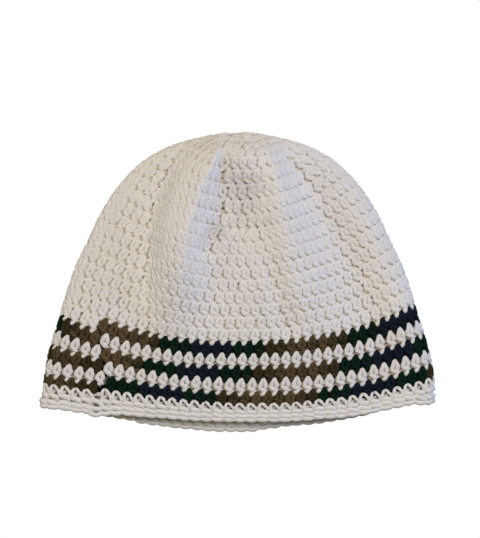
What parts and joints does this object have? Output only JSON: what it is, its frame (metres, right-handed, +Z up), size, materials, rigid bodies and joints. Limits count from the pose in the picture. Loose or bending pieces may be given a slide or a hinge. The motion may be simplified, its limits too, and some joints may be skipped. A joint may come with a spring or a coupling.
{
  "type": "crochet beanie",
  "caption": "Hand-crocheted white beanie with single variegated brown, green and navy rounds near the rim, lying flat on its back layer, open at the rim.",
  "frame": {"origin": "middle of the bounding box on the surface that the hat lies on", "axes": "+X to the right across the front layer, +Y from the rim to the crown, +Z up, away from the surface that the back layer lies on"},
  "size_m": [0.2588, 0.1994, 0.0457],
  "materials": {
    "white_yarn": "matt worsted acrylic yarn, soft white, lightly fuzzy",
    "variegated_yarn": "matt worsted acrylic yarn that changes along its length between brown, olive, dark green and navy"
  },
  "bodies": {
    "root": {"crown": "white_yarn", "stripe_round_1": "variegated_yarn", "white_round_1": "white_yarn", "stripe_round_2": "variegated_yarn", "white_round_2": "white_yarn", "stripe_round_3": "variegated_yarn", "rim_edging": "white_yarn"}
  },
  "joints": []
}
